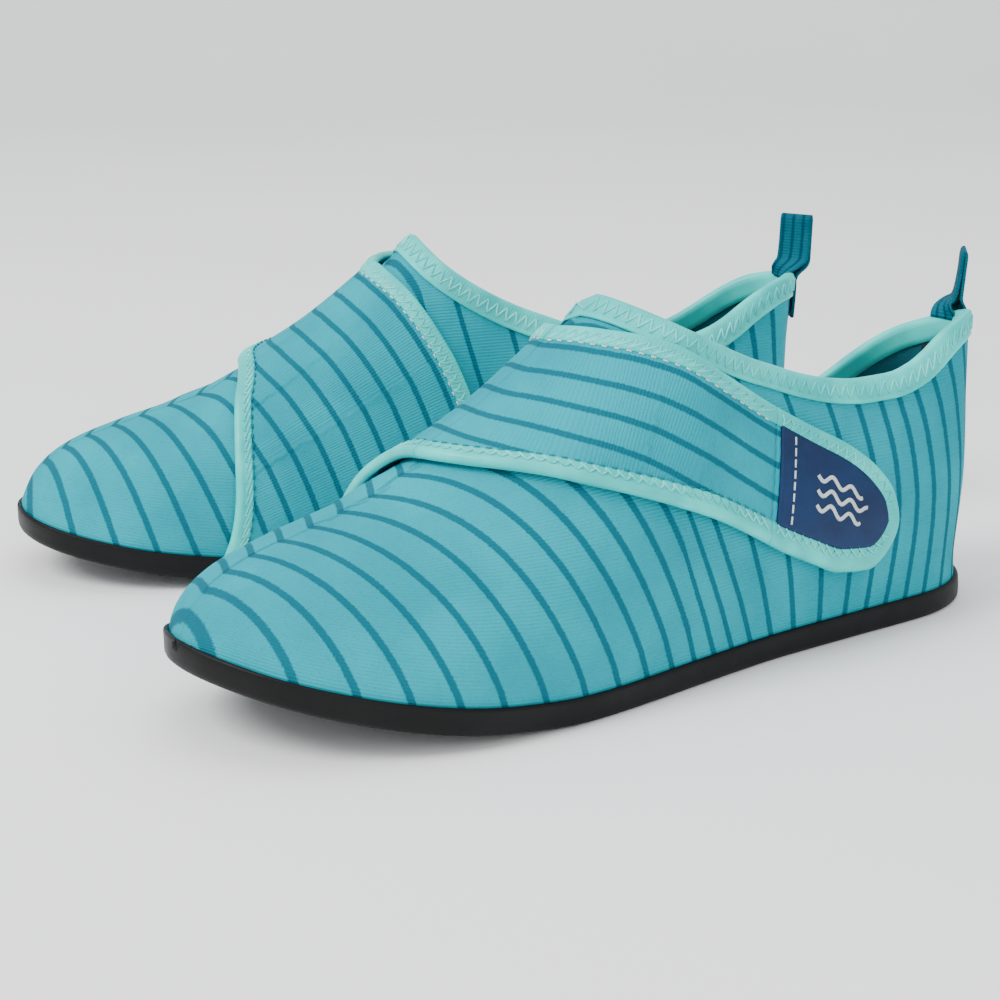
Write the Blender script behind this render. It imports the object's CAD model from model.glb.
"""Looks for a pair of stretch-fabric water shoes: fabric uppers, bound straps and collars, rubber soles.

Each shoe is worked out in its own frame, in millimetres, as in the CAD source: heel at x = 0, toe
towards +x, lateral side towards +y, ground at z = 0.  to_row() puts its points in the row frame.
"""

from math import cos, pi, radians, sin

import bmesh
import bpy
import numpy as np
from mathutils import Matrix, Vector


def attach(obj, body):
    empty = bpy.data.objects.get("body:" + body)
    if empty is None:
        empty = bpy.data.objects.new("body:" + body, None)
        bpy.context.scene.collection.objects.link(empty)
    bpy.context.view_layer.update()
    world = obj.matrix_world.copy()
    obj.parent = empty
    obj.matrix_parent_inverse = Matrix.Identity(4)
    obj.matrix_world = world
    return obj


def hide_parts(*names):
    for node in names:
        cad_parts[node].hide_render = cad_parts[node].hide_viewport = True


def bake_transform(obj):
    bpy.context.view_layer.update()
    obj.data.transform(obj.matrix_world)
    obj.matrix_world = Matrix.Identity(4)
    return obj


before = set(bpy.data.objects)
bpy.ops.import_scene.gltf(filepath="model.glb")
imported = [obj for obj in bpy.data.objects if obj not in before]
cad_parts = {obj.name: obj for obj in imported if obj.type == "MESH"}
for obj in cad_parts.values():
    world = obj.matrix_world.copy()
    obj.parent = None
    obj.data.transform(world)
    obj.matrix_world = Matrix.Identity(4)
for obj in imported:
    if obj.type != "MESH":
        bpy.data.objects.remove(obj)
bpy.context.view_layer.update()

# ---------------------------------------------------------------- sizes of the CAD part (mm)
LENGTH, SOLE, BALL = 250.0, 4.0, 150.0
RIM = 3.5
FABRIC, BOARD, FOOTBED, INSIDE_CLEAR = 2.5, 1.2, 3.0, 0.2
COLLAR_TAPE, COLLAR_ROLL = 7.0, 1.2
STRAP_IN, STRAP_OUT = 1.4, 3.6
STRAP_MIDDLE = 2.5
TIP_LINE = ((87.5, 68.0), (98.5, 33.0))
LABEL = 0.6
TREAD_PITCH, TREAD_SLOT, TREAD_DEPTH, TREAD_MARGIN = 11.0, 1.6, 1.2, 7.0
PINCH, PINCH_SPAN, PINCH_RISE = 14.0, (0.0, 118.0), (35.0, 80.0)
PINCH_POWER = (1.2, 1.6)     # along the shoe, and with height
SAG_SPAN = (5.0, 127.0)
SECTION_POWER = {1: 2.0, -1: 2.4}
SECTION_ROUND, SOLE_TUCK, TUCK_HEIGHT = 1.9, 0.03, 0.15
SLANT = 0.5 ** 0.5

PAIR_MIDDLE = (117.183, -75.977)     # of both shoes, from the left heel
SHOES = {
    "left": dict(toe_lift=18.0, slump=0.3, sag=0.0, at=(0.0, 0.0), turn=0.0, mirrored=False),
    "right": dict(toe_lift=13.0, slump=-0.1, sag=3.0, at=(-8.5, -85.2), turn=-20.7, mirrored=True),
}
OUTLINE = np.array([
    (0, 0, 0), (5, 15, -15), (15, 24, -23), (30, 29, -28), (60, 31, -28.5), (90, 33, -28.5),
    (120, 37.5, -32.5), (150, 42.5, -39.5), (170, 44.5, -43), (190, 44, -44.5), (210, 39.5, -43),
    (225, 32.5, -38.5), (238, 22.5, -31), (246, 10, -22), (250, -6, -6),
])
RIDGE = np.array([
    (0, 170), (40, 165), (80, 140), (110, 112), (125, 98), (140, 85), (160, 70), (180, 58.5),
    (200, 48.5), (220, 40.5), (235, 33), (245, 24), (250, 14),
])
RIDGE_SIDE = np.array([(0, 0), (60, -2), (125, -5), (180, -8), (250, -8)])
HEEL_CURVE = np.array([(-5, 1.5), (0, 2), (14, 4), (22, 3), (42, 0), (60, -0.8), (80, -2.2), (120, 0)])
COLLAR = np.array([
    (-20, 84), (-4, 81.5), (6, 79.8), (14, 76.8), (20, 73.6), (26, 70), (32, 67.2), (40, 65.3), (50, 65.2),
    (60, 66.4), (72, 69.6), (82, 73.3), (92, 76.8), (101, 80.6), (108, 84.2), (114.5, 88.2),
    (119.5, 92.4), (124, 98.5), (126.5, 106),
])
# strap edges in the 45 degree views, rear or upper edge first, from above the instep
LATERAL_EDGE = np.array([
    (139.5, 80), (136.8, 69), (131.8, 60.6), (124.3, 53.5), (112.5, 44.8), (95.6, 35.7),
    (76.2, 26.1), (61.7, 18.7), (53.6, 12.2), (49.4, 6.4), (48.2, 0.5), (51.2, -4.7), (60, -8.8),
    (71, -8.3), (82, -5.4), (92.6, -2.1), (104.5, 2.3), (116.7, 6.6), (128.5, 10.5), (140.4, 15.1),
    (151, 20.4), (160, 26.6), (168, 32.5), (174.5, 38.5), (179.3, 45.5), (182, 53), (184, 62),
])
MEDIAL_FRONT = np.array([(175, 52), (178, 41), (180, 33), (181.5, 27), (184, 18.5), (186, 2), (187, -12),
                         (189, -21), (193, -28), (200, -34)])
MEDIAL_REAR = np.array([(141, 72), (137.5, 60.5), (134.5, 53), (129.3, 44.5), (121.3, 31.7), (115.7, 22.3),
                        (111.4, 13.6), (107, 4), (103, -5), (98, -13), (91, -21), (80, -29)])

# stripe number, where it meets the sole and where it meets the instep ridge or the collar
STRIPES = np.array([
    (0, 248, 247), (2, 222, 236), (5, 186, 212), (8, 150, 185), (11, 122, 160), (14, 100, 133),
    (16, 84, 98), (18, 65, 65), (20, 49, 46), (22, 33, 33), (24, 16, 18), (26, 0, 0),
])
STRIPE_BULGE = 3.0
STRAP_STRIPE = 8.6


# ---------------------------------------------------------------- curves and the foot form
def through(x, y):
    """Monotone cubic curve through points, as a function."""
    x, y = np.array(x, float), np.array(y, float)
    step = np.diff(x)
    rate = np.diff(y) / step
    slope = np.zeros_like(x)
    w1, w2 = 2 * step[1:] + step[:-1], step[1:] + 2 * step[:-1]
    same = rate[:-1] * rate[1:] > 0
    safe = np.where(same, rate[:-1], 1), np.where(same, rate[1:], 1)
    slope[1:-1] = np.where(same, (w1 + w2) / (w1 / safe[0] + w2 / safe[1]), 0)
    for end, near, far in ((0, 0, 1), (-1, -1, -2)):
        both = step[near] + step[far]
        value = ((both + step[near]) * rate[near] - step[near] * rate[far]) / both
        if value * rate[near] <= 0:
            value = 0
        elif rate[near] * rate[far] < 0 and abs(value) > 3 * abs(rate[near]):
            value = 3 * rate[near]
        slope[end] = value

    def curve(q):
        q = np.asarray(q, float)
        i = np.clip(np.searchsorted(x, q, side="right") - 1, 0, len(x) - 2)
        t = (q - x[i]) / step[i]
        return (y[i] * (1 + 2 * t) * (1 - t) ** 2 + slope[i] * step[i] * t * (1 - t) ** 2
                + y[i + 1] * t * t * (3 - 2 * t) + slope[i + 1] * step[i] * t * t * (t - 1))
    return curve


outline_angle = np.arccos(1 - 2 * OUTLINE[:, 0] / LENGTH)
REACH = {1: through(outline_angle, OUTLINE[:, 1]), -1: through(outline_angle, OUTLINE[:, 2])}
ridge_height, ridge_side, heel_curve = (through(*t.T) for t in (RIDGE, RIDGE_SIDE, HEEL_CURVE))


def hump(x, span):
    """0 at both ends of the span, 1 in its middle, like half a wave."""
    return np.sin(np.pi * np.clip((x - span[0]) / (span[1] - span[0]), 0, 1))


def smooth(x, low, high):
    """0 below low, 1 above high and an S curve between; low may be the larger one."""
    t = np.clip((x - low) / (high - low), 0, 1)
    return t * t * (3 - 2 * t)


def rise(x, toe_lift):
    return toe_lift * np.maximum(0, (x - BALL) / (LENGTH - BALL)) ** 2


def outline_at(x, side, offset):
    angle = np.arccos(np.clip(1 - 2 * x / LENGTH, -1, 1))
    before, after = np.clip(angle - 1e-3, 0, np.pi), np.clip(angle + 1e-3, 0, np.pi)
    dx = LENGTH / 2 * (np.cos(before) - np.cos(after))
    dy = REACH[side](after) - REACH[side](before)
    size = np.hypot(dx, dy)
    return x - side * offset * dy / size, REACH[side](angle) + side * offset * dx / size


def ridge_at(x, offset, toe_lift):
    height = ridge_height(x) + 0.6 * rise(x, toe_lift)
    slope = (ridge_height(np.clip(x + 0.05, 0, LENGTH)) - ridge_height(np.clip(x - 0.05, 0, LENGTH)))
    slope = slope / (np.clip(x + 0.05, 0, LENGTH) - np.clip(x - 0.05, 0, LENGTH))
    size = np.hypot(1, slope)
    return x - offset * slope / size, ridge_side(x), height + offset / size


def skin(shoe, x, side, turn, offset):
    """Point of the form at station x; turn goes from 0 at the sole to pi/2 at the instep ridge."""
    x, turn = np.broadcast_arrays(np.asarray(x, float), np.asarray(turn, float))
    base = SOLE + rise(x, shoe["toe_lift"])
    ridge_x, ridge_y, ridge_z = ridge_at(x, offset, shoe["toe_lift"])
    edge_x, edge_y = outline_at(x, side, offset)
    part = np.clip(np.sin(turn), 0, 1) ** (2 / SECTION_POWER[side])
    spread = np.clip(1 - part ** SECTION_POWER[side], 0, 1) ** (1 / SECTION_ROUND)
    spread = spread * (1 - SOLE_TUCK * (1 - np.minimum(1, part / TUCK_HEIGHT)))
    z = base + part * (ridge_z - base)
    along = ridge_x + (edge_x - ridge_x) * spread
    across = ridge_y + (edge_y - ridge_y) * spread
    lean = np.clip((z - PINCH_RISE[0]) / (PINCH_RISE[1] - PINCH_RISE[0]), 0, 1)
    across = across - side * PINCH * hump(x, PINCH_SPAN) ** PINCH_POWER[0] * lean ** PINCH_POWER[1]
    along = along + heel_curve(np.clip(z, -5, 120)) * np.maximum(0, 1 - x / 60) ** 2
    return np.stack([along, across, z], axis=-1)


def outward(shoe, x, side, turn, offset):
    """Unit normal of the form."""
    x, turn = np.broadcast_arrays(np.asarray(x, float), np.asarray(turn, float))
    xa, xb = np.clip(x - 0.4, 0.05, LENGTH - 0.05), np.clip(x + 0.4, 0.05, LENGTH - 0.05)
    ta, tb = np.clip(turn - 0.01, 0.002, pi / 2 - 0.002), np.clip(turn + 0.01, 0.002, pi / 2 - 0.002)
    xm, tm = (xa + xb) / 2, (ta + tb) / 2
    along = skin(shoe, xb, side, tm, offset) - skin(shoe, xa, side, tm, offset)
    up = skin(shoe, xm, side, tb, offset) - skin(shoe, xm, side, ta, offset)
    normal = np.cross(up, along) * side
    return normal / np.maximum(np.linalg.norm(normal, axis=-1), 1e-9)[..., None]


def to_row(shoe, points):
    """Points of one shoe, in mm, to the row frame, in metres."""
    x, y, z = np.moveaxis(np.asarray(points, float), -1, 0)
    y = -y if shoe["mirrored"] else y
    c, s = cos(radians(shoe["turn"])), sin(radians(shoe["turn"]))
    row = [c * x - s * y + shoe["at"][0] - PAIR_MIDDLE[0], s * x + c * y + shoe["at"][1] - PAIR_MIDDLE[1], z]
    return np.stack(row, axis=-1) / 1000


HALVINGS = 22                # steps of a search between two limits


def solve(test, low, high, shape):
    """Where a rising test passes zero, between low and high, for arrays."""
    low, high = np.full(shape, float(low)), np.full(shape, float(high))
    for _ in range(HALVINGS):
        middle = (low + high) / 2
        above = test(middle) > 0
        low, high = np.where(above, low, middle), np.where(above, middle, high)
    return (low + high) / 2


def length_along(points):
    """Distance along a line of points, from its start."""
    return np.concatenate([[0], np.cumsum(np.linalg.norm(np.diff(points, axis=0), axis=1))])


def smooth_line(points, count=500):
    """Many points on a smooth curve through a few."""
    points = np.array(points, float)
    t = length_along(points)
    q = np.linspace(0, t[-1], count)
    return np.stack([through(t, points[:, 0])(q), through(t, points[:, 1])(q)], axis=1)


def shifted(points, distance):
    """Points of an open curve, each moved to the curve's left."""
    along = np.gradient(points, axis=0)
    along /= np.linalg.norm(along, axis=1)[:, None]
    return points + distance * np.stack([-along[:, 1], along[:, 0]], axis=1)


# ---------------------------------------------------------------- mesh helpers
def grid_faces(rows, columns, first=0, loop_rows=False, loop_columns=False):
    """Quads of a grid whose vertices run row by row."""
    faces = []
    for i in range(rows if loop_rows else rows - 1):
        for j in range(columns if loop_columns else columns - 1):
            a, b = i * columns, (i + 1) % rows * columns
            k = (j + 1) % columns
            faces.append((first + a + j, first + a + k, first + b + k, first + b + j))
    return faces


def build(name, shoe, points, faces, finish, values=None, inner_from=None):
    """Mesh object from a shoe's points; values are numbers per vertex that its material reads."""
    mesh = bpy.data.meshes.new(name)
    mesh.from_pydata(to_row(shoe, points).tolist(), [], faces)
    for key, value in (values or {}).items():
        layer = mesh.attributes.new(key, "FLOAT", "POINT")
        layer.data.foreach_set("value", np.asarray(value, np.float32).ravel())
    for one in finish if isinstance(finish, list) else [finish]:
        mesh.materials.append(one)
    if inner_from is not None:
        for face in mesh.polygons:
            face.material_index = int(face.index >= inner_from)
    solid = bmesh.new()
    solid.from_mesh(mesh)
    bmesh.ops.remove_doubles(solid, verts=solid.verts, dist=2e-5)
    bmesh.ops.dissolve_degenerate(solid, edges=solid.edges, dist=1e-6)
    bmesh.ops.recalc_face_normals(solid, faces=solid.faces)
    for face in solid.faces:
        face.smooth = True
    solid.to_mesh(mesh)
    solid.free()
    obj = bpy.data.objects.new(name, mesh)
    bpy.context.scene.collection.objects.link(obj)
    return obj


def slab(top, bottom):
    """Closed solid between two grids of the same size: its points and faces."""
    rows, columns = top.shape[:2]
    points = np.concatenate([top.reshape(-1, 3), bottom.reshape(-1, 3)])
    count = rows * columns
    faces = grid_faces(rows, columns) + [f[::-1] for f in grid_faces(rows, columns, count)]
    rim = ([j for j in range(columns)] + [i * columns + columns - 1 for i in range(1, rows)]
           + [count - 1 - j for j in range(1, columns)] + [i * columns for i in range(rows - 2, 0, -1)])
    for a, b in zip(rim, rim[1:] + rim[:1]):
        faces.append((a, a + count, b + count, b))
    return points, faces


def tube_parts(line, radius, sides=5, flat=1.0, up=None):
    """Points and faces of a round thread along a line; flat squeezes it along up."""
    line = np.asarray(line, float)
    along = np.gradient(line, axis=0)
    along /= np.maximum(np.linalg.norm(along, axis=1), 1e-9)[:, None]
    up = np.tile((0.0, 0.0, 1.0), (len(line), 1)) if up is None else np.asarray(up, float)
    across = np.cross(along, up)
    across /= np.maximum(np.linalg.norm(across, axis=1), 1e-9)[:, None]
    up = np.cross(across, along)
    angle = 2 * pi * np.arange(sides) / sides
    turn = angle[None, :, None]
    ring = across[:, None] * np.cos(turn) + flat * up[:, None] * np.sin(turn)
    points = line[:, None] + radius * ring
    faces = grid_faces(len(line), sides, loop_columns=True)
    faces += [tuple(range(sides))[::-1], tuple(range((len(line) - 1) * sides, len(line) * sides))]
    return points.reshape(-1, 3), faces


def threads(name, shoe, lines, radius, finish, ups=None, flat=1.0):
    """One object of many threads."""
    points, faces, count = [], [], 0
    for k, line in enumerate(lines):
        p, f = tube_parts(line, radius, up=None if ups is None else ups[k], flat=flat)
        points.append(p)
        faces += [tuple(i + count for i in face) for face in f]
        count += len(p)
    return build(name, shoe, np.concatenate(points), faces, finish)


# ---------------------------------------------------------------- materials
def colour(r, g, b):
    """An 8-bit screen colour as Blender's linear one."""
    linear = [v / 255 / 12.92 if v < 11 else ((v / 255 + 0.055) / 1.055) ** 2.4 for v in (r, g, b)]
    return (*linear, 1)


class Graph:
    """A material and short ways to add its nodes."""

    def __init__(self, name, rough=0.7, specular=0.5, sheen=0.0, coat=0.0):
        self.material = bpy.data.materials.new(name)
        self.material.use_nodes = True
        self.tree = self.material.node_tree
        self.shader = self.tree.nodes["Principled BSDF"]
        self.shader.inputs["Roughness"].default_value = rough
        self.shader.inputs["Specular IOR Level"].default_value = specular
        self.shader.inputs["Sheen Weight"].default_value = sheen
        self.shader.inputs["Coat Weight"].default_value = coat
        self.place = self.tree.nodes.new("ShaderNodeTexCoord").outputs["Object"]

    def put(self, socket, value):
        if isinstance(value, bpy.types.NodeSocket):
            self.tree.links.new(value, socket)
        else:
            socket.default_value = value

    def math(self, how, a, b=0.0, c=0.0):
        node = self.tree.nodes.new("ShaderNodeMath")
        node.operation = how
        for socket, value in zip(node.inputs, (a, b, c)):
            self.put(socket, value)
        return node.outputs[0]

    def number(self, name):
        node = self.tree.nodes.new("ShaderNodeAttribute")
        node.attribute_name = name
        return node.outputs["Fac"]

    def noise(self, scale, detail=2.0, rough=0.5):
        node = self.tree.nodes.new("ShaderNodeTexNoise")
        node.inputs["Scale"].default_value = scale
        node.inputs["Detail"].default_value = detail
        node.inputs["Roughness"].default_value = rough
        self.put(node.inputs["Vector"], self.place)
        return node.outputs["Fac"]

    def cells(self, scale):
        node = self.tree.nodes.new("ShaderNodeTexVoronoi")
        node.inputs["Scale"].default_value = scale
        self.put(node.inputs["Vector"], self.place)
        return node.outputs["Distance"]

    def ramp(self, value, low, high, start=0.0, end=1.0):
        node = self.tree.nodes.new("ShaderNodeMapRange")
        node.interpolation_type = "SMOOTHSTEP"
        limits = {"Value": value, "From Min": low, "From Max": high, "To Min": start, "To Max": end}
        for key, v in limits.items():
            self.put(node.inputs[key], v)
        return node.outputs["Result"]

    def mix(self, share, a, b):
        node = self.tree.nodes.new("ShaderNodeMix")
        node.data_type = "RGBA"
        self.put(node.inputs[0], share)
        self.put(node.inputs[6], a)
        self.put(node.inputs[7], b)
        return node.outputs[2]

    def finish(self, base, height=None, depth=0.0002, strength=1.0, rough=None):
        self.put(self.shader.inputs["Base Color"], base)
        if rough is not None:
            self.put(self.shader.inputs["Roughness"], rough)
        if height is not None:
            node = self.tree.nodes.new("ShaderNodeBump")
            node.inputs["Strength"].default_value = strength
            node.inputs["Distance"].default_value = depth
            self.put(node.inputs["Height"], height)
            self.put(self.shader.inputs["Normal"], node.outputs["Normal"])
        return self.material

    def wave(self, name, period):
        """0 to 1 wave along a vertex number in mm."""
        turns = self.math("MULTIPLY", self.number(name), 2 * pi / period)
        return self.math("MULTIPLY_ADD", self.math("SINE", turns), 0.5, 0.5)


def striped_fabric(name, base, shade, stripe, width=1.9):
    """Ribbed knit with darker stripes, from the numbers stripe, pitch and along."""
    g = Graph(name, rough=0.85, specular=0.12)
    phase = g.math("FRACT", g.number("stripe"))
    edge = g.math("SUBTRACT", 0.5, g.math("ABSOLUTE", g.math("SUBTRACT", phase, 0.5)))
    distance = g.math("MULTIPLY", edge, g.number("pitch"))
    ragged = g.math("ADD", distance, g.math("MULTIPLY", g.math("SUBTRACT", g.noise(1500), 0.5), 0.7))
    line = g.ramp(ragged, width / 2 + 0.25, width / 2 - 0.25)
    rib = g.wave("along", 0.95)
    knit = g.noise(2600, 1.0)
    patches = g.noise(38, 3.0)
    body = g.mix(g.ramp(patches, 0.3, 0.7), base, shade)
    body = g.mix(g.math("MULTIPLY", g.math("SUBTRACT", 1.0, rib), 0.28), body, shade)
    body = g.mix(g.math("MULTIPLY", g.ramp(knit, 0.55, 0.8), 0.3), body, stripe)
    tint = g.mix(g.math("MULTIPLY", line, 0.8), body, stripe)
    height = g.math("ADD", g.math("MULTIPLY", rib, 0.5), g.math("MULTIPLY", knit, 0.35))
    height = g.math("SUBTRACT", height, g.math("MULTIPLY", line, 1.1))
    return g.finish(tint, height, 0.00025, 0.8)


def plain_fabric(name, base, shade, scale=1800, rough=0.85, depth=0.0002):
    g = Graph(name, rough=rough, specular=0.25)
    fine = g.noise(scale, 2.0)
    body = g.mix(g.ramp(g.noise(60, 3.0), 0.3, 0.7), base, shade)
    body = g.mix(g.math("MULTIPLY", g.ramp(fine, 0.45, 0.7), 0.35), body, shade)
    return g.finish(body, fine, depth, 0.8)


def tape(name, base, shade):
    """Smooth woven stretch tape with fine ridges across it."""
    g = Graph(name, rough=0.42, specular=0.4, coat=0.05)
    rib = g.wave("along", 1.1)
    fine = g.noise(2400, 1.0)
    band = g.ramp(g.number("smooth"), 0.2, 0.8, 1.0, 0.1)
    body = g.mix(g.ramp(g.noise(70, 2.0), 0.3, 0.7), base, shade)
    body = g.mix(g.math("MULTIPLY", g.math("MULTIPLY", g.math("SUBTRACT", 1.0, rib), band), 0.3), body, shade)
    relief = g.math("ADD", g.math("MULTIPLY", rib, 0.5), g.math("MULTIPLY", fine, 0.5))
    height = g.math("MULTIPLY", relief, band)
    return g.finish(body, height, 0.00018, 0.7)


def rubber(name, base, worn):
    g = Graph(name, rough=0.5, specular=0.2)
    fine, broad = g.noise(900, 3.0), g.noise(45, 4.0)
    body = g.mix(g.math("MULTIPLY", g.ramp(broad, 0.45, 0.75), 0.6), base, worn)
    return g.finish(body, fine, 0.00008, 0.5, rough=g.ramp(broad, 0.3, 0.7, 0.42, 0.6))


def fuzz(name, base, tip, scale):
    g = Graph(name, rough=0.95, sheen=0.3)
    dots = g.cells(scale)
    body = g.mix(g.ramp(dots, 0.2, 0.6), tip, base)
    return g.finish(body, g.math("SUBTRACT", 1.0, dots), 0.0006, 1.0)


TEAL, TEAL_SHADE, STRIPE = colour(6, 166, 180), colour(0, 148, 163), colour(0, 80, 100)
finishes = {
    "upper": striped_fabric("upper_fabric", TEAL, TEAL_SHADE, STRIPE),
    "strap": striped_fabric("strap_fabric", TEAL, TEAL_SHADE, STRIPE, width=1.7),
    "lining": plain_fabric("lining_jersey", colour(24, 96, 108), colour(14, 76, 88)),
    "binding": tape("binding_tape", colour(44, 224, 214), colour(14, 188, 184)),
    "thread": plain_fabric("teal_thread", colour(120, 240, 232), colour(60, 205, 205), 4000, 0.5),
    "hole": plain_fabric("stitch_shadow", colour(6, 132, 142), colour(4, 112, 124), 3000),
    "white": plain_fabric("white_thread", colour(225, 232, 230), colour(190, 205, 205), 4000, 0.6),
    "label": plain_fabric("label_satin", colour(10, 48, 92), colour(6, 34, 72), 2600, 0.5, 0.0001),
    "print": plain_fabric("label_print", colour(222, 226, 222), colour(190, 198, 200), 2600, 0.5, 0.0001),
    "outsole": rubber("sole_rubber", colour(3, 3, 4), colour(9, 9, 10)),
    "board": plain_fabric("lasting_fibre", colour(120, 110, 92), colour(98, 88, 72), 900),
    "footbed": plain_fabric("footbed_foam", colour(40, 44, 48), colour(28, 31, 35), 1200, 0.9, 0.0004),
    "tape": plain_fabric("seam_tape", colour(34, 40, 44), colour(24, 28, 32), 2200),
    "tab": striped_fabric("tab_webbing", colour(0, 104, 122), colour(0, 84, 102), colour(0, 60, 78), 1.0),
    "loop_pad": fuzz("loop_pile", colour(34, 100, 112), colour(84, 150, 158), 1300),
    "hook_pad": fuzz("hook_face", colour(18, 66, 78), colour(48, 108, 120), 1100),
}


# ---------------------------------------------------------------- upper
def collar_line(shoe, drop):
    """Collar line in the side view, lowered by the drop: its height at x, at y = 0."""
    x, z = COLLAR.T
    line = smooth_line(np.stack([x, z - shoe["sag"] * hump(x, SAG_SPAN)], axis=1))
    line = shifted(line, -drop)
    return lambda q: np.interp(q, line[:, 0], line[:, 1])


def collar_front(shoe, drop, offset):
    """Station where the lowered collar line crosses the instep ridge."""
    height = collar_line(shoe, drop)
    x = np.linspace(90, 150, 1201)
    p = skin(shoe, x, 1, np.full_like(x, pi / 2), offset)
    under = p[:, 2] < height(p[:, 0]) + shoe["slump"] * p[:, 1]
    under |= p[:, 0] > COLLAR[-1, 0] + drop
    return x[np.argmax(under)]


def collar_turn(shoe, x, side, drop, offset):
    """How far up the section at station x the lowered collar line is."""
    height = collar_line(shoe, drop)

    def above(turn):
        p = skin(shoe, x, side, turn, offset)
        return p[..., 2] - height(p[..., 0]) - shoe["slump"] * p[..., 1]
    return solve(above, 0, pi / 2, np.shape(x))


def collar_points(shoe, t, drop, offset):
    """Points round the collar: t is 0 at the heel, 0.5 at the front, lateral side first."""
    front = collar_front(shoe, drop, offset)
    t = np.asarray(t, float) % 1
    x = front * (1 - np.cos(2 * pi * t)) / 2
    points = np.zeros(t.shape + (3,))
    for side, chosen in ((1, t <= 0.5), (-1, t > 0.5)):
        if chosen.any():
            turn = collar_turn(shoe, x[chosen], side, drop, offset)
            points[chosen] = skin(shoe, x[chosen], side, turn, offset)
    return points


COLLAR_COLUMNS, TOE_COLUMNS, UPPER_ROWS = 46, 54, 44


def upper_layer(shoe, offset, drop):
    """Grid of one face of the upper, row 0 at the sole; columns run to the toe and back medially."""
    front = collar_front(shoe, drop, offset)
    g = (1 - np.cos(pi * np.linspace(0, 1, COLLAR_COLUMNS))) / 2
    toe = front + (LENGTH - front) * np.sin(pi / 2 * np.linspace(0, 1, TOE_COLUMNS))[1:]
    stations = np.concatenate([front * g, toe])
    columns = []
    for side in (1, -1):
        turn = np.full(stations.shape, pi / 2)
        turn[:COLLAR_COLUMNS - 1] = collar_turn(shoe, stations[:COLLAR_COLUMNS - 1], side, drop, offset)
        dense = np.linspace(0, 1, 200)[:, None] * turn
        line = skin(shoe, stations[None], side, dense, offset)
        grid = []
        for i in range(len(stations)):
            s = length_along(line[:, i])
            even_turn = np.interp(np.linspace(0, s[-1], UPPER_ROWS), s, dense[:, i])
            grid.append(skin(shoe, stations[i], side, even_turn, offset))
        grid = np.stack(grid, axis=1)
        columns.append(grid if side > 0 else grid[:, ::-1])
    return np.concatenate(columns, axis=1)


def stripe_numbers(grid):
    """Stripe count, spacing and distance up the section for each vertex of the upper."""
    share = np.linspace(0, 1, len(grid))
    count = np.linspace(0, 26, 521)
    low, high = (through(STRIPES[:, 0], STRIPES[:, k])(count) for k in (1, 2))
    stripe, pitch = np.zeros(grid.shape[:2]), np.zeros(grid.shape[:2])
    for i, f in enumerate(share):
        x = low * (1 - f) + high * f
        x = x - STRIPE_BULGE * sin(pi * f) * np.clip((110 - x) / 60, 0, 1) * np.clip(x / 20, 0, 1)
        stripe[i] = np.interp(-grid[i, :, 0], -x, count)
        pitch[i] = np.interp(-grid[i, :, 0], -x, np.abs(np.gradient(x, count)))
        stripe[i] -= np.clip((grid[i, :, 0] - x[0]) / pitch[i], 0, 0.5)
        stripe[i] += np.clip((x[-1] - grid[i, :, 0]) / pitch[i], 0, 0.5)
    along = np.concatenate([np.zeros((1, grid.shape[1])),
                            np.cumsum(np.linalg.norm(np.diff(grid, axis=0), axis=2), axis=0)])
    return {"stripe": stripe, "pitch": pitch, "along": along}


def creases(grid, values):
    """Soft folds where the empty fabric gives: behind the toe and above the heel."""
    x, y, z = np.moveaxis(grid, -1, 0)
    fold = 0.35 * np.sin(x / 3.1 + y / 9) * smooth(np.abs(x - 192), 16, 4) * smooth(z, 30, 44)
    fold += 0.3 * np.sin((z + 0.4 * x) / 3.4) * smooth(np.abs(x - 30), 26, 8) * smooth(z, 25, 40)
    grid[..., 2] += fold * smooth(values["along"], 4, 14)
    return grid


def make_upper(name, shoe):
    outer, inner = upper_layer(shoe, 0, COLLAR_ROLL), upper_layer(shoe, -FABRIC, COLLAR_ROLL)
    values = stripe_numbers(outer)
    outer = creases(outer, values)
    rows, columns = outer.shape[:2]
    count = rows * columns
    faces = grid_faces(rows, columns, loop_columns=True)
    top, low = (rows - 1) * columns, 0
    for j in range(columns):
        k = (j + 1) % columns
        faces.append((low + j, low + k, count + low + k, count + low + j))
        if np.linalg.norm(outer[-1, j] - inner[-1, j]) > 0 and (min(j, columns - 1 - j) < COLLAR_COLUMNS - 1):
            faces.append((top + j, top + k, count + top + k, count + top + j))
    inner_from = len(faces)
    faces += grid_faces(rows, columns, first=count, loop_columns=True)
    doubled = {key: np.concatenate([v.ravel(), v.ravel()]) for key, v in values.items()}
    points = np.concatenate([outer.reshape(-1, 3), inner.reshape(-1, 3)])
    both = [finishes["upper"], finishes["lining"]]
    obj = build(f"{name}_upper", shoe, points, faces, both, doubled, inner_from)
    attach(obj, f"{name}_shoe")
    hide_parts(f"{name}_toe_upper", f"{name}_heel_upper")


# collar binding: drop below the collar line and height above the upper, round the tape
COLLAR_SECTION = [
    (7.0, 0.1), (7.35, 0.5), (7.1, 0.95), (6.3, 1.0), (5.9, 0.8), (4.4, 0.95), (2.6, 1.15), (1.2, 1.2),
    (0.2, 0.9), (-0.35, 0.1), (-0.55, -1.1), (-0.3, -2.4), (0.4, -3.3), (2.0, -3.4), (5.0, -3.3),
    (6.9, -3.2), (7.1, -2.7), (4.0, -2.4), (1.4, -1.3), (4.0, -0.1),
]
STITCH_PITCH = 1.75


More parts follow.
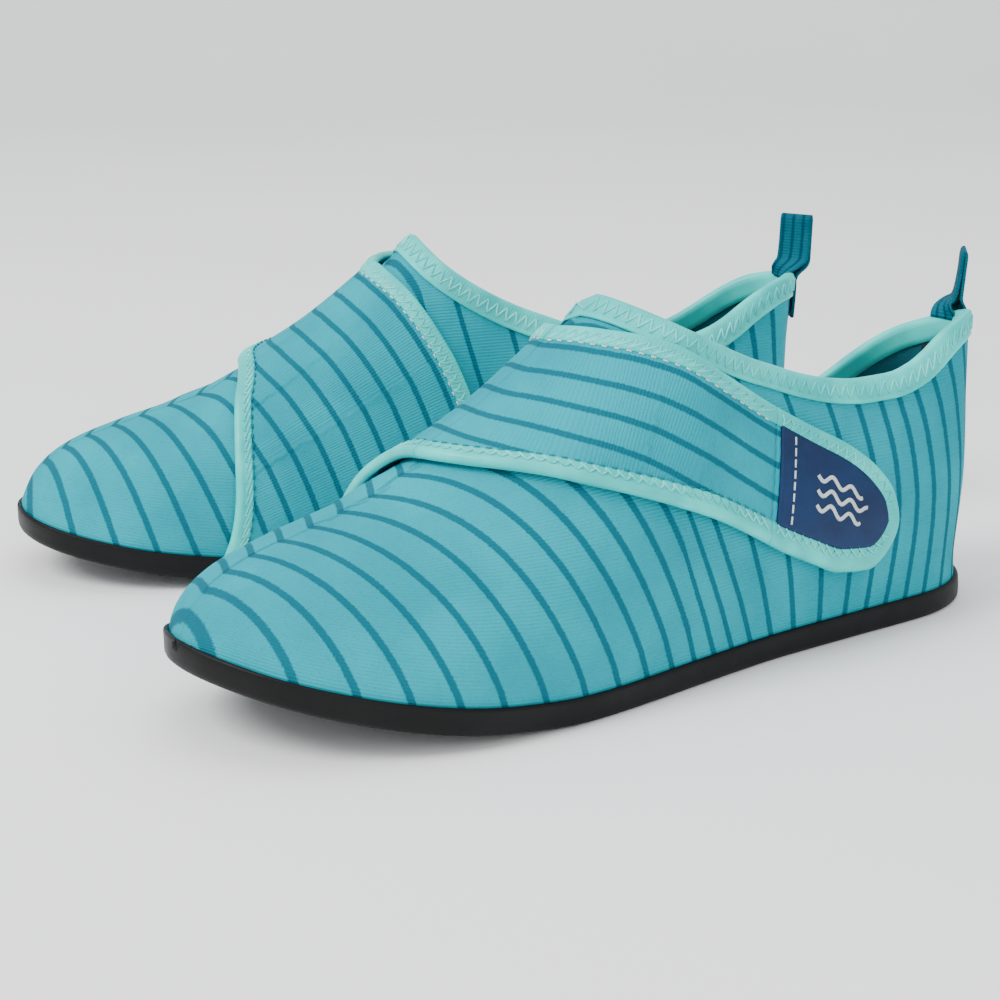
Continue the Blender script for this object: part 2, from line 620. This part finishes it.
def make_collar(name, shoe):
    count = 150
    t = np.arange(count) / count
    loops = [collar_points(shoe, t, drop, height) for drop, height in COLLAR_SECTION]
    grid = np.stack(loops, axis=0)
    faces = grid_faces(len(grid), count, loop_rows=True, loop_columns=True)
    around = length_along(np.concatenate([loops[4], loops[4][:1]]))[:-1]
    smoothness = [1.0 if drop > 6 or height < 0.5 else 0.0 for drop, height in COLLAR_SECTION]
    values = {"along": np.tile(around, len(grid)), "smooth": np.repeat(smoothness, count)}
    obj = build(f"{name}_collar_rim", shoe, grid.reshape(-1, 3), faces, finishes["binding"], values)
    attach(obj, f"{name}_shoe")
    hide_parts(f"{name}_collar_binding")
    # zigzag stitches
    fine = np.linspace(0, 1, 1201)
    middle = collar_points(shoe, fine, 3.6, 1.1)
    s = length_along(middle)
    steps = 2 * int(s[-1] / STITCH_PITCH / 2)
    at = np.interp(np.arange(steps + 1) / steps * s[-1], s, fine)
    high, low = collar_points(shoe, at, 1.6, 1.3), collar_points(shoe, at, 5.4, 1.05)
    zigzag = np.where((np.arange(steps + 1) % 2 == 0)[:, None], high, low)
    lines = [np.stack([a, a * 0.5 + b * 0.5, b]) for a, b in zip(zigzag, zigzag[1:])]
    stitches = threads(f"{name}_collar_stitches", shoe, lines, 0.3, finishes["thread"])
    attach(stitches, f"{name}_shoe")


# ---------------------------------------------------------------- strap
def view_height(points, side):
    return (points[..., 2] - side * points[..., 1]) * SLANT


def project(shoe, side, flat, offset=STRAP_MIDDLE):
    """Station and turn of points given in a 45 degree view of one side."""
    x = flat[..., 0].copy()
    turn = np.zeros_like(x)
    for _ in range(5):
        def above(turn):
            return view_height(skin(shoe, x, side, turn, offset), side) - flat[..., 1]
        turn = solve(above, 0, pi / 2, x.shape)
        x = np.clip(x + flat[..., 0] - skin(shoe, x, side, turn, offset)[..., 0], 1, LENGTH - 1)
    return x, turn


def lifted(shoe, side, flat, height):
    """Points above the upper by a height, given in a 45 degree view."""
    x, turn = project(shoe, side, flat)
    lift = (np.asarray(height, float) - STRAP_MIDDLE)[..., None]
    return skin(shoe, x, side, turn, STRAP_MIDDLE) + outward(shoe, x, side, turn, STRAP_MIDDLE) * lift


def over_ridge(shoe, side, flat):
    """How far a point of the view lies beyond the ridge."""
    ridge = skin(shoe, flat[..., 0], side, np.full(flat.shape[:-1], pi / 2), STRAP_MIDDLE)
    order = np.argsort(ridge[..., 0])
    height = np.interp(flat[..., 0], ridge[order, 0], view_height(ridge, side)[order])
    return flat[..., 1] - height


def fold_x(z):
    """Where the fold between flap and tip is, at a height."""
    (upper_x, upper_z), (lower_x, lower_z) = TIP_LINE
    return upper_x + (lower_x - upper_x) / (upper_z - lower_z) * (upper_z - z)


def crossing(values, line):
    """First point of the line where the values change sign, and its index."""
    i = int(np.argmax(np.sign(values[1:]) != np.sign(values[:-1])))
    share = values[i] / (values[i] - values[i + 1])
    return i, line[i] + share * (line[i + 1] - line[i])


def between(line, start, end):
    """The stretch of a line between two crossings."""
    return np.concatenate([[start[1]], line[start[0] + 1:end[0] + 1], [end[1]]])


def even(line, count):
    """Points evenly along a line."""
    s = length_along(line)
    q = np.linspace(0, s[-1], count)
    return np.stack([np.interp(q, s, line[:, 0]), np.interp(q, s, line[:, 1])], axis=1)


APEX = (48.2, 0.5)           # tip of the strap in the lateral view


def edge_runs(shoe, inset):
    """The strap's edges, moved in by the inset: each run in its view, from the ridge outwards."""
    whole = smooth_line(LATERAL_EDGE, 700)
    whole = shifted(whole, inset * SLANT)
    apex = int(np.argmin(np.linalg.norm(smooth_line(LATERAL_EDGE, 700) - APEX, axis=1)))
    upper, lower = whole[:apex + 1], whole[apex:][::-1]
    runs = {}
    for key, line in (("upper", upper), ("lower", lower)):
        start = crossing(over_ridge(shoe, 1, line), line)
        solid = lifted(shoe, 1, line, np.full(len(line), STRAP_MIDDLE))
        fold = solid[:, 0] - fold_x(solid[:, 2])
        fold[:start[0] + 2] = 1
        middle = crossing(fold, line)
        runs["flap", key] = between(line, start, middle)
        runs["tip", key] = np.concatenate([[middle[1]], line[middle[0] + 1:]])
    for key, points, sign in (("upper", MEDIAL_REAR, 1), ("lower", MEDIAL_FRONT, -1)):
        line = smooth_line(points, 400)
        line = shifted(line, sign * inset * SLANT)
        start = crossing(over_ridge(shoe, -1, line), line)
        solid = lifted(shoe, -1, line, np.full(len(line), STRAP_MIDDLE))
        rim = SOLE + rise(solid[:, 0], shoe["toe_lift"]) + RIM - 0.6
        end = solid[:, 2] - rim
        end[:start[0] + 2] = 1
        line = between(line, start, crossing(end, line))
        step = runs["flap", key][0, 0] - line[0, 0]
        line[:, 0] += step * np.exp(-length_along(line) / 12)
        runs["root", key] = line
    return runs


def strap_thickness(part, share, height):
    """Height above the upper: at the sole the root tucks in behind the rubber rim."""
    if part != "root":
        return np.broadcast_to(height, share.shape)
    tuck = smooth(share, 0.86, 1.0)
    return height * (1 - tuck) + (height - 1.3) * tuck


def strap_grid(shoe, part, runs, height, rows, columns):
    """Grid of the strap between its two edges."""
    side = -1 if part == "root" else 1
    upper, lower = even(runs[part, "upper"], rows), even(runs[part, "lower"], rows)
    across = np.linspace(0, 1, columns)[None, :, None]
    flat = upper[:, None] * (1 - across) + lower[:, None] * across
    share = np.broadcast_to(np.linspace(0, 1, rows)[:, None], (rows, columns))
    if part == "tip":
        share = np.zeros((rows, columns))
    return lifted(shoe, side, flat, strap_thickness(part, share, height))


def strap_edge_line(shoe, runs):
    """The rear and upper edge of the whole strap, in space."""
    lines = []
    for part in ("root", "flap", "tip"):
        line = even(runs[part, "upper"], 160)
        solid = lifted(shoe, -1 if part == "root" else 1, line, np.full(160, STRAP_OUT))
        lines.append(solid[::-1] if part == "root" else solid)
    return np.concatenate(lines)


def distance_to(points, line):
    """Distance of points from a line, and how far along the line the nearest point is."""
    flat = points.reshape(-1, 3)
    near, along = np.full(len(flat), 1e9), np.zeros(len(flat))
    s = length_along(line)
    for a, b, start, end in zip(line, line[1:], s, s[1:]):
        run = b - a
        share = np.clip((flat - a) @ run / max(run @ run, 1e-12), 0, 1)
        far = np.linalg.norm(flat - a - share[:, None] * run, axis=1)
        closer = far < near
        near = np.where(closer, far, near)
        along = np.where(closer, start + share * (end - start), along)
    return near.reshape(points.shape[:-1]), along.reshape(points.shape[:-1])


STRAP_ROWS = {"root": 60, "flap": 60, "tip": 40}
STRAP_COLUMNS = 40


def place_strap(obj, name, part):
    """Lets a strap piece follow its body, and bend at the joint it starts from."""
    if part == "root":
        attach(obj, f"{name}_shoe")
        return
    if part == "flap":
        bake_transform(obj)
        return
    (upper_x, upper_z), (lower_x, lower_z) = TIP_LINE
    away = -np.array([upper_z - lower_z, 0.0, lower_x - upper_x])
    away /= np.linalg.norm(away)
    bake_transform(obj)


def make_strap_cloth(name, shoe):
    runs = edge_runs(shoe, 0.8)
    line = strap_edge_line(shoe, edge_runs(shoe, 0.0))
    for part in ("root", "flap", "tip"):
        top = strap_grid(shoe, part, runs, STRAP_OUT, STRAP_ROWS[part], STRAP_COLUMNS)
        bottom = strap_grid(shoe, part, runs, STRAP_IN, STRAP_ROWS[part], STRAP_COLUMNS)
        points, faces = slab(top, bottom)
        near, along = distance_to(top, line)
        values = {"stripe": near / STRAP_STRIPE + 0.15, "pitch": np.full(near.shape, STRAP_STRIPE),
                  "along": along}
        values = {key: np.concatenate([v.ravel(), v.ravel()]) for key, v in values.items()}
        obj = build(f"{name}_strap_{part}_cloth", shoe, points, faces, finishes["strap"], values)
        place_strap(obj, name, part)
        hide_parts(f"{name}_strap_{part}")


# strap binding: inset from the edge and height above the upper, flat and with a rolled edge
FLAT_SECTION = np.array([
    (7.0, 3.5), (7.1, 3.95), (6.2, 4.1), (4.6, 4.15), (3.0, 4.2), (1.6, 4.15), (0.6, 3.9), (0.0, 3.3),
    (-0.1, 2.7), (0.0, 2.0), (0.6, 1.5), (1.6, 1.4), (3.0, 1.5), (3.4, 2.4),
])
ROLLED_SECTION = np.array([
    (7.0, 3.5), (7.1, 3.95), (6.2, 4.0), (4.4, 3.9), (3.6, 4.15), (2.4, 4.6), (1.0, 4.5), (0.0, 3.8),
    (-0.35, 2.9), (-0.1, 2.1), (0.6, 1.5), (1.6, 1.4), (3.0, 1.5), (3.4, 2.4),
])


def tape_strip(shoe, part, key, count, roll):
    """Grid of one stretch of strap binding; roll is 0 for the flat and 1 for the rolled section."""
    side = -1 if part == "root" else 1
    rows = []
    share = np.linspace(0, 1, count)
    for k in range(len(FLAT_SECTION)):
        inset = FLAT_SECTION[k, 0] * (1 - roll) + ROLLED_SECTION[k, 0] * roll
        height = FLAT_SECTION[k, 1] * (1 - roll) + ROLLED_SECTION[k, 1] * roll
        lines = {}
        for value in sorted({round(float(FLAT_SECTION[k, 0]), 3), round(float(ROLLED_SECTION[k, 0]), 3)}):
            lines[value] = even(edges_at(shoe, value)[part, key], count)
        values = list(lines)
        if len(values) == 1:
            flat = lines[values[0]]
        else:
            mix = ((inset - values[0]) / (values[1] - values[0]))[:, None]
            flat = lines[values[0]] * (1 - mix) + lines[values[1]] * mix
        rows.append(lifted(shoe, side, flat, strap_thickness(part, share, height)))
    return np.stack(rows, axis=0)


kept_edges = {}


def edges_at(shoe, inset):
    key = (shoe["mirrored"], inset)
    if key not in kept_edges:
        kept_edges[key] = edge_runs(shoe, inset)
    return kept_edges[key]


def strip_object(title, shoe, grids, rolls):
    """Closed tape solid from one strip, or from two that meet at the tip."""
    grid = np.concatenate(grids, axis=1) if len(grids) > 1 else grids[0]
    rows, columns = grid.shape[:2]
    faces = grid_faces(rows, columns, loop_rows=True)
    faces += [tuple(i * columns for i in range(rows)), tuple(i * columns + columns - 1 for i in range(rows))]
    along = length_along(grid[4])
    roll = np.concatenate(rolls)
    smoothness = [[1.0 if (k >= 4 and r > 0.5) or k >= 8 else 0.0 for r in roll] for k in range(rows)]
    values = {"along": np.tile(along, rows), "smooth": smoothness}
    return build(title, shoe, grid.reshape(-1, 3), faces, finishes["binding"], values)


def make_strap_binding(name, shoe):
    zero, one = np.zeros(90), np.ones(90)
    for part in ("root", "flap", "tip"):
        if part == "tip":
            share = np.linspace(0, 1, 60)
            half_rolled = smooth(share, 0.55, 1.0) * 0.5
            up = tape_strip(shoe, part, "upper", 60, half_rolled)
            low = tape_strip(shoe, part, "lower", 60, 1 - half_rolled)
            rolls = [half_rolled, (1 - half_rolled)[::-1][1:]]
            obj = strip_object(f"{name}_tip_binding", shoe, [up, low[:, ::-1][:, 1:]], rolls)
            place_strap(obj, name, part)
            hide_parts(f"{name}_strap_tip_binding")
            continue
        for key, roll in (("upper", zero), ("lower", one)):
            grid = tape_strip(shoe, part, key, 90, roll)
            obj = strip_object(f"{name}_{part}_binding_{key}", shoe, [grid], [roll])
            place_strap(obj, name, part)
        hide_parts(f"{name}_strap_{part}_binding")


def seam_points(shoe, part, key, inset, height, pitch):
    """Points along a seam, a pitch apart."""
    side = -1 if part == "root" else 1
    line = edges_at(shoe, inset)[part, key]
    solid = lifted(shoe, side, line, np.full(len(line), height))
    s = length_along(solid)
    count = max(2, int(s[-1] / pitch))
    q = (np.arange(count) + 0.5) / count * s[-1]
    flat = np.stack([np.interp(q, s, line[:, 0]), np.interp(q, s, line[:, 1])], axis=1)
    return lifted(shoe, side, flat, strap_thickness(part, q / s[-1], np.full(count, height)))


def make_strap_stitches(name, shoe):
    for part in ("root", "flap", "tip"):
        lines, bits, dark = [], [], []
        for key in ("upper", "lower"):
            inner, outer, top = (6.6, 2.6, 4.3) if key == "upper" else (6.6, 3.9, 4.15)
            a = seam_points(shoe, part, key, outer, top, 3.2)
            b = seam_points(shoe, part, key, inner, 4.1, 3.2)
            count = min(len(a), len(b))
            for i in range(count - 1):
                lines.append(np.stack([a[i], (a[i] + b[i]) / 2 * 0.5 + (a[i + 1] + b[i]) / 4, b[i]]))
                lines.append(np.stack([b[i], (b[i] + a[i + 1]) / 2, a[i + 1]]))
            edge = seam_points(shoe, part, key, 7.3, 3.85, 3.2)
            for i in range(len(edge) - 1):
                step = edge[i] + 0.42 * (edge[i + 1] - edge[i])
                (bits if key == "upper" else dark).append(np.stack([edge[i], (edge[i] + step) / 2, step]))
        groups = ((lines, "thread", 0.28, "zigzag"), (bits, "white", 0.26, "white_thread"),
                  (dark, "hole", 0.36, "needle_line"))
        for group, finish, radius, title in groups:
            obj = threads(f"{name}_{part}_{title}", shoe, group, radius, finishes[finish])
            place_strap(obj, name, part)


# ---------------------------------------------------------------- label and closure
def patch_grid(shoe, inset, behind, height, rows=30, columns=24):
    """Grid over the strap tip, inset from its edges, that starts behind the fold."""
    runs = edges_at(shoe, inset)
    lines = []
    for key in ("upper", "lower"):
        line = runs["tip", key]
        solid = lifted(shoe, 1, line, np.full(len(line), STRAP_MIDDLE))
        start = crossing(solid[:, 0] - fold_x(solid[:, 2]) + behind, line)
        lines.append(even(np.concatenate([[start[1]], line[start[0] + 1:]]), rows))
    across = np.linspace(0, 1, columns)[None, :, None]
    flat = lines[0][:, None] * (1 - across) + lines[1][:, None] * across
    return lifted(shoe, 1, flat, np.full(flat.shape[:2], float(height))), flat


def make_label(name, shoe):
    top, flat = patch_grid(shoe, 6.6, 1.5, STRAP_OUT + LABEL)
    bottom, _ = patch_grid(shoe, 6.6, 1.5, STRAP_OUT)
    obj = build(f"{name}_label", shoe, *slab(top, bottom), finishes["label"])
    place_strap(obj, name, "tip")
    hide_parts(f"{name}_strap_label")
    # three printed waves, and a straight seam beside the fold
    rows, columns = flat.shape[:2]

    def on_label(u, v, height):
        i, j = u * (rows - 1), v * (columns - 1)
        i0, j0 = np.clip(i.astype(int), 0, rows - 2), np.clip(j.astype(int), 0, columns - 2)
        a, b = (i - i0)[:, None], (j - j0)[:, None]
        place = (flat[i0, j0] * (1 - a) * (1 - b) + flat[i0 + 1, j0] * a * (1 - b)
                 + flat[i0, j0 + 1] * (1 - a) * b + flat[i0 + 1, j0 + 1] * a * b)
        return lifted(shoe, 1, place, np.full(len(u), height))
    waves, ups = [], []
    for k in range(3):
        u = np.linspace(0.3, 0.72 - 0.05 * abs(k - 1), 60)
        v = 0.34 + 0.16 * k + 0.045 * np.sin((u - 0.3) * 6.5 * 2 * pi)
        line = on_label(u, v, STRAP_OUT + LABEL + 0.06)
        waves.append(line)
        ups.append(on_label(u, v, STRAP_OUT + LABEL + 2) - line)
    motif = threads(f"{name}_label_waves", shoe, waves, 0.62, finishes["print"], ups, 0.3)
    place_strap(motif, name, "tip")
    v = np.linspace(0.03, 0.97, 400)
    line = on_label(np.full(400, 0.11), v, STRAP_OUT + LABEL + 0.12)
    s = length_along(line)
    dashes = []
    for start in np.arange(0.5, s[-1] - 2.4, 3.1):
        q = np.linspace(start, start + 2.2, 4)
        dashes.append(np.stack([np.interp(q, s, line[:, k]) for k in range(3)], axis=1))
    seam = threads(f"{name}_label_seam", shoe, dashes, 0.3, finishes["white"])
    place_strap(seam, name, "tip")


def make_pads(name, shoe):
    loop, _ = patch_grid(shoe, 8.2, 2.0, 0.5)
    under, _ = patch_grid(shoe, 8.2, 2.0, 0.0)
    obj = build(f"{name}_loop_pile", shoe, *slab(loop, under), finishes["loop_pad"])
    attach(obj, f"{name}_shoe")
    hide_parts(f"{name}_loop_pad")
    hook, _ = patch_grid(shoe, 9.0, 2.0, STRAP_IN)
    face, _ = patch_grid(shoe, 9.0, 2.0, 0.95)
    obj = build(f"{name}_hook_face", shoe, *slab(hook, face), finishes["hook_pad"])
    place_strap(obj, name, "tip")
    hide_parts(f"{name}_hook_pad")


# ---------------------------------------------------------------- sole
# rubber band: distance outside the upper and height above its underside, from inside the rim to the tread
BAND = [(0.0, 0.0), (0.0, 1.8), (0.0, 3.2), (0.35, 3.5), (0.9, 3.45), (1.3, 3.1), (1.4, 2.4),
        (1.4, 0.0), (1.4, -1.6), (1.3, -2.7), (0.9, -3.5), (0.3, -3.9), (-0.6, -4.0)]


def band_points(shoe, stations, side, offset, height):
    base = SOLE + rise(stations, shoe["toe_lift"])
    if height > 0:
        def above(turn):
            return skin(shoe, stations, side, turn, offset)[..., 2] - base - height
        turn = solve(above, 0, pi / 2, stations.shape)
        points = skin(shoe, stations, side, turn, offset)
    else:
        points = skin(shoe, stations, side, np.zeros_like(stations), offset)
    points[..., 2] = SOLE + rise(points[..., 0], shoe["toe_lift"]) + height
    return points


def sole_stations():
    x = list(LENGTH * (1 - np.cos(pi * np.linspace(0, 1, 70))) / 2)
    for slot in np.arange(TREAD_PITCH, LENGTH - TREAD_PITCH, TREAD_PITCH):
        x += [slot - 0.15, slot + 0.1, slot + TREAD_SLOT - 0.1, slot + TREAD_SLOT + 0.15]
    x = np.array(sorted(x))
    return x[np.concatenate([[True], np.diff(x) > 0.05])]


def cross_grid(lateral, medial, tread):
    """Surface between two long edges, with the tread slots cut in it if asked."""
    edge = TREAD_MARGIN
    rows = []
    for a, b in zip(lateral, medial):
        width = abs(a[1] - b[1])
        inset = min(edge, width * 0.3)
        y = [0, inset - 0.15, inset + 0.1, width * 0.5, width - inset - 0.1, width - inset + 0.15, width]
        share = np.array(y) / max(width, 1e-6)
        line = a + (b - a) * share[:, None]
        if tread and width > 3 * edge:
            x = line[:, 0]
            place = (x - TREAD_PITCH) % TREAD_PITCH
            inside = (place > 0) & (place < TREAD_SLOT)
            inside &= (x > TREAD_PITCH - 1) & (x < LENGTH - TREAD_PITCH)
            inside &= (share * width > inset) & (share * width < width - inset)
            line[:, 2] += TREAD_DEPTH * inside
        rows.append(line)
    return np.stack(rows)


def ringed_solid(shoe, stations, profile, treads):
    """Closed solid of rings round the foot, each an offset and a height; its ends may have tread slots."""
    count = len(stations)
    rings = []
    for offset, height in profile:
        lateral = band_points(shoe, stations, 1, offset, height)
        medial = band_points(shoe, stations, -1, offset, height)
        rings.append(np.concatenate([lateral, medial[::-1]]))
    grid = np.stack(rings)
    points = [grid.reshape(-1, 3)]
    faces = grid_faces(len(grid), grid.shape[1], loop_columns=True)
    for ring, tread in zip((grid[0], grid[-1]), treads):
        surface = cross_grid(ring[:count], ring[count:][::-1], tread)
        faces += grid_faces(*surface.shape[:2], first=sum(len(p) for p in points))
        points.append(surface.reshape(-1, 3))
    return np.concatenate(points), faces


def make_outsole(name, shoe):
    solid = ringed_solid(shoe, sole_stations(), BAND, (False, True))
    obj = build(f"{name}_outsole_rubber", shoe, *solid, finishes["outsole"])
    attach(obj, f"{name}_shoe")
    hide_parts(f"{name}_outsole")


def make_insides(name, shoe):
    low, high = BOARD + 0.02, BOARD + FOOTBED
    profile = [(0.3, low), (0.0, low + 0.6), (0.0, high - 0.8), (0.3, high - 0.2), (1.0, high)]
    profile = [(-FABRIC - INSIDE_CLEAR - inset, height) for inset, height in profile]
    stations = LENGTH * (1 - np.cos(pi * np.linspace(0, 1, 70))) / 2
    solid = ringed_solid(shoe, stations, profile, (False, False))
    bed = build(f"{name}_footbed_foam", shoe, *solid, finishes["footbed"])
    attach(bed, f"{name}_shoe")
    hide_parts(f"{name}_footbed")
    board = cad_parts[f"{name}_lasting_board"].data
    board.materials.clear()
    board.materials.append(finishes["board"])
    # seam tape inside the heel
    rows, half = 40, 1.5
    stations = np.linspace(0, half, 9)
    faces_of = {}
    for offset in (-FABRIC, -FABRIC - 0.8):
        sides = []
        for side in (1, -1):
            top = collar_turn(shoe, stations, side, COLLAR_TAPE + 0.3, offset)
            turn = 0.075 + (top - 0.075) * np.linspace(0, 1, rows)[:, None]
            grid = skin(shoe, stations[None], side, turn, offset)
            sides.append(grid[:, ::-1] if side > 0 else grid[:, 1:])
        faces_of[offset] = np.concatenate(sides, axis=1)
    solid = slab(*faces_of.values())
    obj = build(f"{name}_heel_tape", shoe, *solid, finishes["tape"])
    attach(obj, f"{name}_shoe")
    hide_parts(f"{name}_heel_seam_tape")


# ---------------------------------------------------------------- heel pull tab
TAB_WIDTH, TAB_TWIST, TAB_AT = 11.0, 42.0, (-4.4, 0.5)
TAB_BASE, TAB_TOP, TAB_FOOT_TOP, TAB_FOOT = 84.0, 100.5, 80.0, 13.0
TAB_STRIPE = 3.6             # between the stripes along its webbing


def make_pull_tab(name, shoe):
    """Tape sewn down the heel, that loops up over the collar and back inside."""
    def heel(z, offset):
        turn = solve(lambda q: skin(shoe, 0.0, 1, q, offset)[..., 2] - z, 0, pi / 2, ())
        return skin(shoe, 0.0, 1, turn, offset)
    half = TAB_WIDTH / 2
    across = np.linspace(-half, half, 13)
    # foot
    stations = np.linspace(0, 0.72, 7)
    grids = []
    for offset in (2.05, 1.0):
        sides = []
        for side in (1, -1):
            z = np.linspace(TAB_FOOT_TOP - TAB_FOOT, TAB_FOOT_TOP + 0.4, 16)[:, None] + 0 * stations
            st = np.broadcast_to(stations, z.shape)
            turn = solve(lambda q: skin(shoe, st, side, q, offset)[..., 2] - z, 0, pi / 2, z.shape)
            grid = skin(shoe, st, side, turn, offset)
            sides.append(grid[:, ::-1] if side > 0 else grid[:, 1:])
        grids.append(np.concatenate(sides, axis=1))
    points, faces = slab(*grids)
    values = {"stripe": np.clip((points[:, 1] + half) / TAB_STRIPE + 0.3, 0, 9),
              "pitch": np.full(len(points), TAB_STRIPE), "along": points[:, 2]}
    foot = build(f"{name}_tab_foot", shoe, points, faces, finishes["tab"], values)
    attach(foot, f"{name}_shoe")
    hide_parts(f"{name}_pull_tab_foot")
    # loop: a strip that turns over at the top
    outer = heel(TAB_FOOT_TOP, 1.6)
    foot_x = outer[0] - TAB_AT[0]
    path = np.array([
        (foot_x, TAB_FOOT_TOP - 0.4), (foot_x - 0.3, 81.6), (-0.5, 84.2), (-0.8, 88.0),
        (-1.3, 94.5), (-1.6, 98.6), (-1.2, TAB_TOP - 0.55), (-0.6, 98.8),
        (-0.2, 94.5), (0.6, 88.6), (1.5, 85.6), (3.2, 84.4), (4.6, 82.4), (5.0, 79.5),
    ]) + (TAB_AT[0], 0)
    line = smooth_line(path, 70)
    twist = np.radians(-TAB_TWIST) * smooth(line[:, 1], TAB_FOOT_TOP, TAB_BASE + 2)
    faces_of = []
    for shift in (0.45, -0.45):
        strip = shifted(line, shift)
        x = strip[:, 0, None] - TAB_AT[0] + 0 * across
        y = across[None] + 0 * x
        bow = 0.012 * y ** 2 * smooth(line[:, 1], TAB_BASE, TAB_FOOT_TOP)[:, None]
        c, s = np.cos(twist)[:, None], np.sin(twist)[:, None]
        place = [TAB_AT[0] + c * x - s * y + bow, s * x + c * y, strip[:, 1, None] + 0 * x]
        faces_of.append(np.stack(place, axis=-1))
    points, faces = slab(*faces_of)
    along = np.repeat(length_along(line), len(across))
    widths = np.tile((across + half) / TAB_STRIPE + 0.3, len(line))
    values = {"stripe": np.tile(widths, 2), "pitch": np.full(2 * len(widths), TAB_STRIPE),
              "along": np.tile(along, 2)}
    tab = build(f"{name}_tab_loop", shoe, points, faces, finishes["tab"], values)
    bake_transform(tab)
    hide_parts(f"{name}_heel_pull_tab")


# ---------------------------------------------------------------- the pair
for shoe_name, shoe in SHOES.items():
    make_outsole(shoe_name, shoe)
    make_upper(shoe_name, shoe)
    make_collar(shoe_name, shoe)
    make_strap_cloth(shoe_name, shoe)
    make_strap_binding(shoe_name, shoe)
    make_strap_stitches(shoe_name, shoe)
    make_label(shoe_name, shoe)
    make_pads(shoe_name, shoe)
    make_insides(shoe_name, shoe)
    make_pull_tab(shoe_name, shoe)


# ---------------------------------------------------------------- floor, light and camera
def flat_colour(name, base, rough):
    g = Graph(name, rough=rough)
    shade = (*(0.97 * v for v in base[:3]), 1)
    return g.finish(g.mix(g.ramp(g.noise(3, 2.0), 0.3, 0.7), base, shade))


def make_floor():
    size, back, height, bend = 6.0, 1.6, 3.0, 0.6
    curve = [(back + bend * sin(a), bend * (1 - cos(a))) for a in np.linspace(0, pi / 2, 12)]
    profile = [(-size, 0.0)] + curve
    profile.append((back + bend, height))
    rows = []
    for along, up in profile:
        rows.append([(x, -along, up) for x in (-size, size)])
    points = np.array(rows).reshape(-1, 3)
    mesh = bpy.data.meshes.new("floor")
    mesh.from_pydata(points.tolist(), [], grid_faces(len(profile), 2))
    for face in mesh.polygons:
        face.use_smooth = True
    mesh.materials.append(flat_colour("pale_floor", colour(254, 254, 254), 0.7))
    floor = bpy.data.objects.new("floor", mesh)
    floor.rotation_euler = (0, 0, radians(-30))
    bpy.context.scene.collection.objects.link(floor)


def area_light(name, place, aim, size, power):
    data = bpy.data.lights.new(name, "AREA")
    data.shape, data.size, data.energy = "DISK", size, power
    light = bpy.data.objects.new(name, data)
    light.location = place
    light.rotation_euler = (Vector(aim) - Vector(place)).to_track_quat("-Z", "Y").to_euler()
    bpy.context.scene.collection.objects.link(light)


make_floor()
area_light("key", (1.15, -0.1, 1.25), (0.05, 0, 0.03), 0.8, 24)
area_light("fill", (0.5, 1.3, 0.8), (0, 0, 0.03), 1.2, 7)
area_light("top", (-0.3, -0.3, 1.7), (0, 0, 0), 1.4, 10)
world = bpy.data.worlds.new("studio")
world.use_nodes = True
world.node_tree.nodes["Background"].inputs[0].default_value = (0.95, 0.97, 1.0, 1)
world.node_tree.nodes["Background"].inputs[1].default_value = 0.95
bpy.context.scene.world = world

CAMERA_PLACE = (465.9, 464.3, 200.7)     # mm, in the left shoe's frame
CAMERA_YAW, CAMERA_PITCH, CAMERA_ROLL = radians(-123.4), radians(-15.3), radians(-0.4)
SENSOR, FIELD = 36.0, 1000 / 2193.5      # width of the picture at distance 1

camera = bpy.data.objects.new("camera", bpy.data.cameras.new("camera"))
camera.data.sensor_width, camera.data.lens = SENSOR, SENSOR / FIELD
camera.data.clip_start, camera.data.clip_end = 0.01, 30
ahead = Vector((cos(CAMERA_PITCH) * cos(CAMERA_YAW), cos(CAMERA_PITCH) * sin(CAMERA_YAW), sin(CAMERA_PITCH)))
right = Vector((sin(CAMERA_YAW), -cos(CAMERA_YAW), 0))
up = right.cross(ahead)
right, up = (right * cos(CAMERA_ROLL) + up * sin(CAMERA_ROLL),
             up * cos(CAMERA_ROLL) - right * sin(CAMERA_ROLL))
camera.matrix_world = Matrix((right, up, -ahead)).transposed().to_4x4()
camera.location = to_row(SHOES["left"], CAMERA_PLACE)
bpy.context.scene.collection.objects.link(camera)
bpy.context.scene.camera = camera
